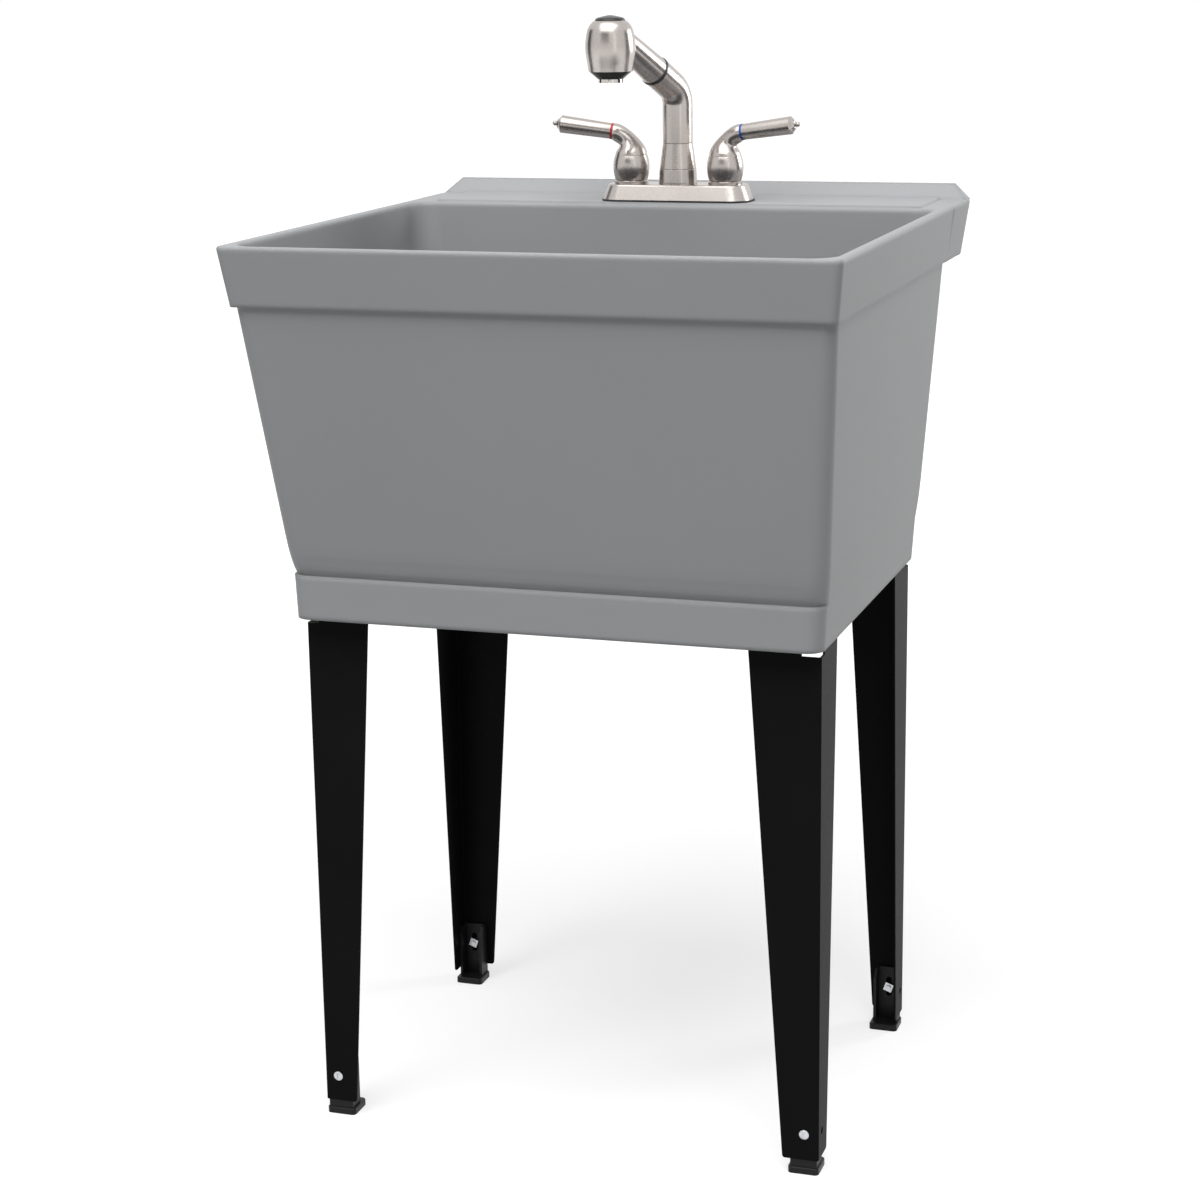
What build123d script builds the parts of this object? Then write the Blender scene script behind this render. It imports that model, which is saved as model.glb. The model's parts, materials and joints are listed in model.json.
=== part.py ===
from build123d import *
from math import cos, radians, sin
import os

# Free-standing utility laundry sink: a moulded tub on four sheet-metal legs, with a two-handle
# centre-set faucet and a pull-out wand. Millimetres, +Z up, the front faces -Y, and the origin
# is on the floor under the middle of the tub.

# ---------------------------------------------------------------- tub
tub_width = 581.0
tub_depth = 590.0
rim_height = 877.0
wall = 5.0
rim_corner = 7.0
rim_edge_radius = 2.5
basin_edge_radius = 3.5

apron_drop = 56.0
apron_side_draft = 7.2
apron_front_draft = 9.7
deck_side_length = 95.0
deck_side_step = 1.0
deck_draft = 7.5
deck_drop = 58.0
deck_heel_radius = 4.0

wall_side_step = 9.5
wall_front_step = 14.0
wall_rear_step = 88.0
wall_head_corner = 13.0
wall_length = 262.0
wall_side_draft = 0.074
wall_front_draft = 0.2012
wall_rear_draft = 0.0488
wall_foot_corner = 17.0

curl_height = 40.0
curl_side = 1.8
curl_front = 4.6

skirt_height = 42.0
skirt_front_step = 1.2
skirt_side_draft = 1.9
skirt_rear_draft = 7.0

basin_side_step = 12.1
basin_front_step = 7.7
basin_side_wall = 6.5
basin_front_wall = 8.0
basin_rear_at_rim = 127.0
basin_rear_slope = 10.0
basin_corner = 24.0
basin_foot_radius = 20.0
floor_step = 1.0
floor_fall = 9.0

deck_pad_rise = 1.5
deck_pad_depth = 121.0
deck_pad_side = 28.5
deck_pad_corner = 10.0
backsplash_rise = 15.0
backsplash_foot = 20.0
backsplash_top = 4.0
backsplash_end = 16.5
rib_thickness = 4.0
deck_rib_x = 150.0
deck_rib_height = 35.0
floor_rib_x = 95.0
floor_rib_height = 16.0

front_y = -tub_depth / 2
rear_y = tub_depth / 2
deck_side_front = rear_y - deck_side_length
deck_under_z = rim_height - wall
deck_top_z = rim_height + deck_pad_rise
rim_land_z = rim_height - rim_edge_radius - 1.0
apron_foot_z = rim_height - apron_drop
deck_foot_z = rim_height - deck_drop
skirt_top_z = apron_foot_z - wall_length
skirt_foot_z = skirt_top_z - skirt_height
curl_top_z = skirt_top_z + curl_height
floor_edge_z = skirt_top_z + floor_step
floor_under_z = floor_edge_z - wall
floor_drain_z = floor_edge_z - floor_fall

wall_head_half = tub_width / 2 - wall_side_step
wall_head_front = front_y + wall_front_step
wall_head_rear = rear_y - wall_rear_step
wall_foot_half = wall_head_half - wall_side_draft * wall_length - curl_side
wall_foot_front = wall_head_front + wall_front_draft * wall_length
wall_foot_rear = wall_head_rear - wall_rear_draft * wall_length
skirt_front = wall_foot_front - skirt_front_step
skirt_foot_half = wall_foot_half - skirt_side_draft
skirt_foot_rear = wall_foot_rear - skirt_rear_draft
cavity_half = skirt_foot_half - wall
cavity_front = skirt_front + wall
cavity_rear = skirt_foot_rear - wall
cavity_corner = wall_foot_corner - wall

basin_rim_half = tub_width / 2 - basin_side_step
basin_rim_front = front_y + basin_front_step
basin_rim_rear = rear_y - basin_rear_at_rim
basin_floor_half = wall_foot_half + curl_side - basin_side_wall
basin_floor_front = wall_foot_front + basin_front_wall - wall
basin_floor_rear = basin_rim_rear - basin_rear_slope

# ---------------------------------------------------------------- drain
drain_back = 265.0
drain_hole_radius = 26.0
drain_recess_radius = 44.0
drain_recess_depth = 2.0
drain_throat_radius = 25.5
drain_throat_wall = 4.0
drain_flange_radius = 42.0
drain_body_length = 46.0
tailpiece_radius = 19.05
tailpiece_wall = 1.5
tailpiece_length = 37.0
slip_nut_drop = 5.0

# ---------------------------------------------------------------- legs and feet
leg_side_gap = 4.6
leg_front_gap = 21.5
leg_rear_gap = 6.2
leg_sheet = 1.8
leg_top_drop = 9.0
leg_foot_z = 15.0
leg_wide_head = 71.0
leg_wide_foot = 35.2
leg_narrow_head = 65.8
leg_narrow_foot = 32.8
leg_bend_radius = 2.6
leg_wide_notch = 18.5
leg_narrow_notch = 12.5
leg_notch_gap = 8.5
leg_hole_radius = 3.5
leg_hole_inset = 14.0
leg_hole_z = 41.0
leg_corner_radius = 3.0

socket_wall = 4.0
socket_lift = 3.0
socket_clearance = 0.15

foot_plate = 30.0
foot_plate_height = 6.5
foot_plate_corner = 4.0
foot_post_width = 26.0
foot_post_depth = 18.0
foot_post_top_z = 63.0
foot_web = 3.2
foot_rib = 3.0
foot_slot_width = 6.0
foot_slot_height = 22.0
foot_clearance = 0.1

screw_radius = 2.4
screw_head_radius = 4.75
screw_head_height = 2.6
nut_side = 9.0
nut_height = 3.4

# ---------------------------------------------------------------- faucet
faucet_back = 92.0
valve_spacing = 101.6
gasket_thickness = 2.0
plate_length = 159.0
plate_width = 54.0
plate_top_length = 146.0
plate_top_width = 44.0
plate_height = 15.5
plate_shell = 2.2
plate_corner = 21.0

shank_radius = 10.45
shank_bore = 6.5
shank_drop = 51.0
shank_root_radius = 11.6
shank_root_drop = 19.0
valve_bore = 9.4
deck_hole_radius = 14.0
tower_radius = 12.9
tower_top = 3.0
nut_radius = 15.0
nut_wing_span = 44.0
nut_wing_width = 7.0
nut_thickness = 9.0
washer_radius = 19.0
washer_thickness = 2.5

stem_tube_radius = 12.3
stem_tube_bore = 9.0
swivel_clearance = 0.1
collar_height = 15.5
collar_foot_radius = 20.0
collar_head_radius = 19.3
cone_height = 26.3
cone_foot_radius = 19.0
neck_radius = 15.6
seam = 0.3

spout_turn = 23.5
wand_rise = 32.0
elbow_rise = 51.7
elbow_radius = 25.0
dock_distance = 40.4
dock_ring_thickness = 3.0
dock_ring_radius = 16.0
dock_sleeve_length = 14.0
dock_bore = 11.2
wand_foot_radius = 15.1
wand_neck_radius = 12.6
wand_plug_length = 18.0

head_reach = 104.0
head_lift = 24.7
head_height = 49.5
head_foot_radius = 22.3
head_belly_radius = 25.3
head_top_radius = 16.4
head_shell = 2.4
button_radius = 15.2
button_dome = 5.5
button_rim = 1.5
button_travel = 2.5
spring_wire = 0.7
spring_radius = 6.6
spring_pitch = 3.62
nozzle_height = 7.5
nozzle_foot_radius = 12.4
aerator_tab_height = 3.6
aerator_slot_count = 8

# ---------------------------------------------------------------- handles
lever_toe_in = 8.0
lever_rise = 8.0
base_ring_height = 3.5
bell_height = 25.0
bell_foot_radius = 16.8
bell_belly_radius = 19.1
bell_head_radius = 17.0
ring_distance = 20.0
ring_height = 53.4
ring_width = 2.2
ring_radius = 8.5
arm_end_radius = 8.2
grip_length = 54.0
grip_end_radius = 9.2
tip_radius = 2.6
valve_stem_radius = 4.0

plate_foot_z = deck_top_z + gasket_thickness
plate_top_z = plate_foot_z + plate_height
bell_foot_z = plate_top_z + base_ring_height + seam
bell_top_z = bell_foot_z + bell_height
collar_top_z = plate_top_z + collar_height
cone_top_z = collar_top_z + cone_height
neck_foot_z = cone_top_z + seam
valve_x = valve_spacing / 2
faucet_y = rear_y - faucet_back
shank_foot_z = rim_height - shank_drop
shank_root_z = rim_height - shank_root_drop
elbow_z = neck_foot_z + elbow_rise
head_foot_z = elbow_z + head_lift
head_top_z = head_foot_z + head_height
drain_y = front_y + drain_back
drain_body_foot_z = floor_drain_z - drain_body_length
tailpiece_foot_z = drain_body_foot_z - tailpiece_length
slip_nut_foot_z = drain_body_foot_z - slip_nut_drop
valve_seat_z = plate_foot_z + 4.0
leg_x = skirt_foot_half - leg_side_gap
leg_front_y = skirt_front + leg_front_gap
leg_rear_y = skirt_foot_rear - leg_rear_gap
leg_top_z = skirt_top_z - leg_top_drop
leg_notch_foot_z = skirt_foot_z - leg_notch_gap
socket_foot_z = skirt_foot_z + socket_lift
os.makedirs("parts", exist_ok=True)


def keep(builder, name):
    """Label a finished piece and write it to its own file."""
    builder.part.label = name
    export_step(builder.part, f"parts/{name}.step")


def outline(half_width, front, rear, corner):
    """A rounded rectangle, even about X, between two depths."""
    with Locations((0, (front + rear) / 2)):
        RectangleRounded(2 * half_width, rear - front, corner)


def span(x0, x1, y0, y1):
    """A plain rectangle between two corners."""
    with Locations(((x0 + x1) / 2, (y0 + y1) / 2)):
        Rectangle(abs(x1 - x0), abs(y1 - y0))


def wall_outline(z):
    """The outer outline of the tapered walls at height z; their foot curls in above the skirt."""
    drop = apron_foot_z - z
    curl = max(0.0, (curl_top_z - z) / curl_height)
    half = wall_head_half - wall_side_draft * drop - curl_side * curl**2
    front = wall_head_front + wall_front_draft * drop + curl_front * curl**4
    corner = wall_head_corner + (wall_foot_corner - wall_head_corner) * drop / wall_length
    outline(half, front, wall_head_rear - wall_rear_draft * drop, corner)


def between(z, at_rim, at_floor):
    """A size of the basin at height z, from its sizes at the rim and at the floor."""
    return at_floor + (at_rim - at_floor) * (z - floor_edge_z) / (rim_height - floor_edge_z)


def basin_outline(z):
    """The basin's inner outline at height z."""
    half = between(z, basin_rim_half, basin_floor_half)
    front = between(z, basin_rim_front, basin_floor_front)
    outline(half, front, between(z, basin_rim_rear, basin_floor_rear), basin_corner)


# ---------------------------------------------------------------- tub
with BuildPart() as basin_space:
    for z in (rim_height, floor_edge_z):
        with BuildSketch(Plane.XY.offset(z)):
            basin_outline(z)
    loft(ruled=True)
    fillet(basin_space.faces().sort_by(Axis.Z)[0].edges(), basin_foot_radius)
    # the floor falls from all sides to the drain
    with BuildSketch(Plane.XY.offset(floor_edge_z)):
        outline(
            basin_floor_half - basin_foot_radius,
            basin_floor_front + basin_foot_radius,
            basin_floor_rear - basin_foot_radius,
            6.0,
        )
    with BuildSketch(Plane.XY.offset(floor_drain_z)):
        with Locations((0, drain_y)):
            RectangleRounded(2 * drain_recess_radius, 2 * drain_recess_radius, drain_recess_radius - 1.0)
    loft(ruled=True)

with BuildPart() as under_space:
    with BuildSketch(Plane.XY.offset(skirt_foot_z)):
        outline(cavity_half, cavity_front, cavity_rear, cavity_corner)
    extrude(amount=floor_under_z - skirt_foot_z - 0.1)
    with BuildSketch(Plane.XY.offset(floor_under_z)):
        outline(cavity_half, cavity_front, cavity_rear, cavity_corner)
    with BuildSketch(Plane.XY.offset(floor_drain_z - wall)):
        with Locations((0, drain_y)):
            RectangleRounded(2 * drain_recess_radius, 2 * drain_recess_radius, drain_recess_radius - 1.0)
    loft(ruled=True, mode=Mode.SUBTRACT)

with BuildPart() as rear_pocket:
    # the room behind the basin's rear wall, between the two side wings
    for z in (skirt_top_z, apron_foot_z + 1.0):
        with BuildSketch(Plane.XY.offset(z)):
            half = wall_head_half - wall_side_draft * (apron_foot_z - z) - curl_side - wall
            outline(half, between(z, basin_rim_rear, basin_floor_rear) + wall, wall_head_rear + 40.0, 8.0)
    loft(ruled=True)
    with BuildSketch(Plane.XY.offset(apron_foot_z - 4.0)):
        outline(wall_head_half - wall, basin_rim_rear + wall, rear_y - wall - deck_draft, 5.0)
    extrude(amount=deck_under_z - apron_foot_z + 4.0)
    with BuildSketch(Plane.XY.offset(apron_foot_z - 4.0)):
        half = tub_width / 2 - deck_draft - wall
        outline(half, wall_head_rear + wall, rear_y - wall - deck_draft, 4.0)
    extrude(amount=deck_under_z - apron_foot_z + 4.0)

# every corner of the tub: its side, the leg's face, the skirt's inner face, the way in, and the
# leg's flanges along X and along Y; the same leg makes a quarter turn at each corner
wide_flange = (leg_wide_head, leg_wide_notch)
narrow_flange = (leg_narrow_head, leg_narrow_notch)
leg_corners = (
    (1, leg_front_y, cavity_front, 1, wide_flange, narrow_flange),
    (1, leg_rear_y, cavity_rear, -1, narrow_flange, wide_flange),
    (-1, leg_rear_y, cavity_rear, -1, wide_flange, narrow_flange),
    (-1, leg_front_y, cavity_front, 1, narrow_flange, wide_flange),
)
with BuildPart() as leg_sockets:
    # walls on both sides of each flange, tied to the skirt by ribs
    for side, face_y, skirt_y, inward, (along_x, notch_x), (along_y, notch_y) in leg_corners:
        near_y = face_y - inward * (socket_clearance + socket_wall)
        far_y = face_y + inward * (leg_sheet + socket_clearance + socket_wall)
        inner_x = leg_x - leg_sheet - socket_clearance - socket_wall
        end_x = leg_x - along_x - socket_wall
        end_y = face_y + inward * (along_y + socket_wall)
        skin_x = cavity_half + 1.0
        with BuildSketch(Plane.XY.offset(socket_foot_z)):
            span(side * end_x, side * skin_x, near_y, far_y)
            span(side * inner_x, side * skin_x, near_y, end_y)
            for rib_x in (end_x, leg_x - along_x / 2, inner_x):
                rib_end = rib_x + socket_wall
                span(side * rib_x, side * rib_end, skirt_y - inward * 1.0, near_y + inward * 1.0)
        extrude(amount=floor_under_z + 1.0 - socket_foot_z)
    with BuildSketch(Plane.XY.offset(skirt_foot_z)):
        outline(skirt_foot_half - 1.0, skirt_front + 1.0, skirt_foot_rear - 1.0, wall_foot_corner - 1.0)
    extrude(amount=floor_under_z + 10.0 - skirt_foot_z, mode=Mode.INTERSECT)

with BuildPart() as leg_slots:
    # one slot for each flange, closed above; the notch leaves the corner between them solid
    for side, face_y, skirt_y, inward, (along_x, notch_x), (along_y, notch_y) in leg_corners:
        near_y = face_y - inward * socket_clearance
        far_y = face_y + inward * (leg_sheet + socket_clearance)
        with BuildSketch(Plane.XY.offset(socket_foot_z - 10.0)):
            span(
                side * (leg_x - along_x - socket_clearance),
                side * (leg_x - notch_x + socket_clearance),
                near_y,
                far_y,
            )
            span(
                side * (leg_x - leg_sheet - socket_clearance),
                side * (leg_x + socket_clearance),
                face_y + inward * (notch_y - socket_clearance),
                face_y + inward * (along_y + socket_clearance),
            )
        extrude(amount=leg_top_z - socket_foot_z + 10.0)

with BuildPart() as rim_apron:
    for z in (rim_height, rim_land_z):
        with BuildSketch(Plane.XY.offset(z)):
            outline(tub_width / 2 - deck_side_step, front_y, deck_side_front + 40.0, rim_corner)
    with BuildSketch(Plane.XY.offset(apron_foot_z)):
        half = tub_width / 2 - apron_side_draft
        outline(half, front_y + apron_front_draft, deck_side_front + 40.0, rim_corner)
    loft(ruled=True)
    fillet(rim_apron.faces().sort_by(Axis.Z)[-1].edges(), rim_edge_radius)

with BuildPart() as deck_block:
    # the faucet deck's sides stand a little proud of the apron
    for z in (rim_height, rim_land_z):
        with BuildSketch(Plane.XY.offset(z)):
            outline(tub_width / 2, deck_side_front, rear_y, rim_corner)
    with BuildSketch(Plane.XY.offset(deck_foot_z)):
        outline(tub_width / 2 - deck_draft, deck_side_front, rear_y - deck_draft, rim_corner)
    loft(ruled=True)
    fillet(deck_block.faces().sort_by(Axis.Z)[-1].edges(), rim_edge_radius)
    foot_edges = deck_block.edges().filter_by_position(Axis.Z, deck_foot_z - 0.1, deck_foot_z + 0.1)
    fillet(foot_edges.filter_by(Axis.X).sort_by(Axis.Y)[-1], deck_heel_radius)

with BuildPart() as tub:
    add(rim_apron.part)
    add(deck_block.part)
    # drafted side walls, which curl in above the skirt
    curl_heights = [skirt_top_z + share * curl_height for share in (1, 0.7, 0.5, 0.3, 0.15, 0)]
    for z in (apron_foot_z + 6.0, *curl_heights):
        with BuildSketch(Plane.XY.offset(z)):
            wall_outline(z)
    loft(ruled=True)
    # skirt, which stands proud of the walls only at the front
    with BuildSketch(Plane.XY.offset(skirt_top_z)):
        outline(wall_foot_half, skirt_front, wall_foot_rear, wall_foot_corner)
    with BuildSketch(Plane.XY.offset(skirt_foot_z)):
        outline(skirt_foot_half, skirt_front, skirt_foot_rear, wall_foot_corner)
    loft(ruled=True)
    add(basin_space.part, mode=Mode.SUBTRACT)
    rim_face = tub.faces().filter_by(Axis.Z).sort_by(Axis.Z)[-1]
    fillet(rim_face.inner_wires()[0].edges(), basin_edge_radius)
    add(rear_pocket.part, mode=Mode.SUBTRACT)
    add(under_space.part, mode=Mode.SUBTRACT)
    # raised faucet pad
    with BuildSketch(Plane.XY.offset(deck_under_z + 1.0)):
        pad_half = tub_width / 2 - deck_pad_side
        outline(pad_half, rear_y - deck_pad_depth, rear_y - backsplash_top, deck_pad_corner)
    extrude(amount=deck_top_z - deck_under_z - 1.0)
    pad_face = tub.faces().filter_by(Axis.Z).sort_by(Axis.Z)[-1]
    chamfer(pad_face.outer_wire().edges(), deck_pad_rise - 0.3)
    # backsplash with a sloped front and sloped ends
    with BuildSketch(Plane.XY.offset(rim_height - 1.0)):
        span(-tub_width / 2 + 0.5, tub_width / 2 - 0.5, rear_y - backsplash_foot, rear_y - 0.2)
    with BuildSketch(Plane.XY.offset(rim_height + backsplash_rise)):
        half = tub_width / 2 - backsplash_end
        span(-half, half, rear_y - backsplash_top, rear_y - 0.2)
    loft(ruled=True)
    # ribs under the deck and under the floor
    rib_front = basin_rim_rear + wall - 1.0
    rib_rear = rear_y - deck_draft - 4.0
    for x in (-deck_rib_x, deck_rib_x):
        with BuildSketch(Plane.XY.offset(deck_under_z - deck_rib_height)):
            with Locations((x, 0)):
                span(-rib_thickness / 2, rib_thickness / 2, rib_front, rib_rear)
        extrude(amount=deck_rib_height + 1.0)
    for x in (-floor_rib_x, floor_rib_x):
        with BuildSketch(Plane.XY.offset(floor_under_z - floor_rib_height)):
            with Locations((x, 0)):
                span(-rib_thickness / 2, rib_thickness / 2, cavity_front - 1.0, cavity_rear + 1.0)
        extrude(amount=floor_rib_height - 1.5)
    add(leg_sockets.part)
    add(leg_slots.part, mode=Mode.SUBTRACT)
    # drain seat and faucet holes
    with Locations((0, drain_y, floor_drain_z)):
        Cylinder(
            drain_recess_radius,
            drain_recess_depth,
            align=(Align.CENTER, Align.CENTER, Align.MAX),
            mode=Mode.SUBTRACT,
        )
        Cylinder(drain_hole_radius, 40.0, mode=Mode.SUBTRACT)
    with Locations(*((x, faucet_y, deck_top_z) for x in (-valve_x, 0, valve_x))):
        Cylinder(deck_hole_radius, 30.0, mode=Mode.SUBTRACT)
keep(tub, "tub")

# ---------------------------------------------------------------- legs
with BuildPart() as leg_shape:
    # tapered angle whose outer corner is the Z axis: wide flange towards -X, narrow towards +Y
    with BuildSketch(Plane.XZ):
        with BuildLine():
            Polyline(
                (0, leg_foot_z),
                (0, leg_top_z),
                (-leg_wide_head, leg_top_z),
                (-leg_wide_foot, leg_foot_z),
                close=True,
            )
        make_face()
        with Locations((-leg_wide_notch / 2, (leg_notch_foot_z + leg_top_z) / 2)):
            Rectangle(leg_wide_notch, leg_top_z - leg_notch_foot_z, mode=Mode.SUBTRACT)
    extrude(amount=-leg_sheet)
    with BuildSketch(Plane.YZ):
        with BuildLine():
            Polyline(
                (0, leg_foot_z),
                (0, leg_notch_foot_z),
                (leg_narrow_notch, leg_notch_foot_z),
                (leg_narrow_notch, leg_top_z),
                (leg_narrow_head, leg_top_z),
                (leg_narrow_foot, leg_foot_z),
                close=True,
            )
        make_face()
    extrude(amount=-leg_sheet)
    upright = leg_shape.edges().filter_by(Axis.Z)
    outside = upright.filter_by_position(Axis.X, -0.01, 0.01).filter_by_position(Axis.Y, -0.01, 0.01)
    fillet(outside, leg_bend_radius)
    upright = leg_shape.edges().filter_by(Axis.Z)
    inside = upright.filter_by_position(Axis.X, -leg_sheet - 0.01, -leg_sheet + 0.01)
    inside = inside.filter_by_position(Axis.Y, leg_sheet - 0.01, leg_sheet + 0.01)
    fillet(inside, leg_bend_radius - leg_sheet)
    with Locations(Location((-leg_hole_inset, 0, leg_hole_z), (90, 0, 0))):
        Cylinder(leg_hole_radius, 4 * leg_sheet, mode=Mode.SUBTRACT)
    with Locations(Location((0, leg_hole_inset, leg_hole_z), (0, 90, 0))):
        Cylinder(leg_hole_radius, 4 * leg_sheet, mode=Mode.SUBTRACT)
    lowest = leg_shape.edges().filter_by_position(Axis.Z, leg_foot_z - 0.01, leg_foot_z + 0.01)
    fillet(lowest.filter_by(Axis.Y).sort_by(Axis.X)[0], leg_corner_radius)
    lowest = leg_shape.edges().filter_by_position(Axis.Z, leg_foot_z - 0.01, leg_foot_z + 0.01)
    fillet(lowest.filter_by(Axis.X).sort_by(Axis.Y)[-1], leg_corner_radius)

with BuildPart() as right_foot:
    # levelling foot that slides inside the leg's corner
    inset = leg_sheet + foot_clearance
    with BuildSketch():
        with Locations((-foot_plate / 2 - 0.3, foot_plate / 2 + 0.2)):
            RectangleRounded(foot_plate, foot_plate, foot_plate_corner)
    extrude(amount=foot_plate_height)
    chamfer(right_foot.faces().sort_by(Axis.Z)[-1].edges(), 0.8)
    with BuildSketch(Plane.XY.offset(foot_plate_height - 1.0)) as post_profile:
        x1 = -inset
        x0 = -inset - foot_post_width
        y0 = inset
        y1 = inset + foot_post_depth
        span(x0, x1, y0, y0 + foot_web)
        span(x0, x0 + foot_rib, y0, y1)
        span(x1 - foot_rib, x1, y0, y1)
        fold_corner = post_profile.vertices().sort_by_distance((x1, y0, foot_plate_height - 1.0))[0]
        fillet(fold_corner, leg_bend_radius - leg_sheet + 0.4)
    extrude(amount=foot_post_top_z - foot_plate_height + 1.0)
    post_top = (foot_post_top_z - 0.01, foot_post_top_z + 0.01)
    top_edges = right_foot.edges().filter_by_position(Axis.Z, *post_top)
    chamfer(top_edges.filter_by(Axis.X).sort_by(Axis.Y)[-2:], 8.0)
    top_edges = right_foot.edges().filter_by_position(Axis.Z, *post_top)
    shoulders = top_edges.filter_by(Axis.Y).sort_by(Axis.X)
    fillet([shoulders[0], shoulders[-1]], 2.0)
    with BuildSketch(Plane.XZ.offset(-inset + 1.0)):
        with Locations((-leg_hole_inset, leg_hole_z)):
            SlotOverall(foot_slot_height, foot_slot_width, rotation=90)
    extrude(amount=-foot_web - 2.0, mode=Mode.SUBTRACT)

with BuildPart() as left_foot:
    mirror(right_foot.part, about=Plane.YZ)

corners = (
    ("front_right", leg_x, leg_front_y, 0, 0, right_foot),
    ("front_left", -leg_x, leg_front_y, -90, 0, left_foot),
    ("rear_right", leg_x, leg_rear_y, 90, 180, left_foot),
    ("rear_left", -leg_x, leg_rear_y, 180, 180, right_foot),
)
for corner_name, x, y, leg_turn, foot_turn, foot_shape in corners:
    with BuildPart() as leg:
        with Locations(Location((x, y, 0), (0, 0, leg_turn))):
            add(leg_shape.part)
    keep(leg, f"leg_{corner_name}")
    with BuildPart() as foot:
        with Locations(Location((x, y, 0), (0, 0, foot_turn))):
            add(foot_shape.part)
    keep(foot, f"foot_{corner_name}")

screw_x = leg_x - leg_hole_inset
front_screws = [Location((x, leg_front_y, leg_hole_z), (90, 0, 0)) for x in (-screw_x, screw_x)]
rear_screws = [Location((x, leg_rear_y, leg_hole_z), (-90, 0, 0)) for x in (-screw_x, screw_x)]
grip_depth = leg_sheet + 2 * foot_clearance + foot_web
screw_length = grip_depth + nut_height + 2.0

with BuildPart() as screw:
    # truss head outward along +Z, shank inward
    with BuildSketch(Plane.XZ):
        with BuildLine():
            Polyline(
                (screw_head_radius, 0.8),
                (screw_head_radius, 0),
                (screw_radius, 0),
                (screw_radius, -screw_length),
                (0, -screw_length),
                (0, screw_head_height),
            )
            RadiusArc((0, screw_head_height), (screw_head_radius, 0.8), 7.5)
        make_face()
    revolve(axis=Axis.Z)
    with Locations((0, 0, screw_head_height)):
        Box(1.2, 4 * screw_head_radius, 2.2, mode=Mode.SUBTRACT)

with BuildPart() as foot_screws:
    with Locations(*front_screws, *rear_screws):
        add(screw.part)
keep(foot_screws, "foot_screws")

with BuildPart() as square_nut:
    with BuildSketch(Plane.XY.offset(-grip_depth - nut_height)):
        Rectangle(nut_side, nut_side, rotation=20)
        Circle(screw_radius, mode=Mode.SUBTRACT)
    extrude(amount=nut_height)

with BuildPart() as foot_nuts:
    with Locations(*front_screws, *rear_screws):
        add(square_nut.part)
keep(foot_nuts, "foot_nuts")

# ---------------------------------------------------------------- faucet on the deck
valve_places = ((-valve_x, faucet_y), (valve_x, faucet_y))
with BuildPart() as deck_gasket:
    with BuildSketch(Plane.XY.offset(deck_top_z)):
        with Locations((0, faucet_y)):
            RectangleRounded(plate_length + 1.0, plate_width + 1.0, plate_corner)
        with Locations((0, faucet_y), *valve_places):
            Circle(deck_hole_radius, mode=Mode.SUBTRACT)
    extrude(amount=gasket_thickness)
keep(deck_gasket, "deck_gasket")

with BuildPart() as deck_plate:
    for z, length, width, corner in (
        (plate_foot_z, plate_length, plate_width, plate_corner),
        (plate_top_z, plate_top_length, plate_top_width, plate_corner - 4.0),
    ):
        with BuildSketch(Plane.XY.offset(z)):
            with Locations((0, faucet_y)):
                RectangleRounded(length, width, corner)
    loft(ruled=True)
    fillet(deck_plate.faces().sort_by(Axis.Z)[-1].edges(), 2.5)
    for z, length, width, corner in (
        (plate_foot_z, plate_length, plate_width, plate_corner),
        (plate_top_z - plate_shell, plate_top_length, plate_top_width, plate_corner - 4.0),
    ):
        with BuildSketch(Plane.XY.offset(z)):
            with Locations((0, faucet_y)):
                RectangleRounded(length - 2 * plate_shell, width - 2 * plate_shell, corner - plate_shell)
    loft(ruled=True, mode=Mode.SUBTRACT)
    with Locations((0, faucet_y, plate_top_z), *((x, y, plate_top_z) for x, y in valve_places)):
        Cylinder(tower_radius + 0.2, 4 * plate_shell, mode=Mode.SUBTRACT)
keep(deck_plate, "deck_plate")

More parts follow.
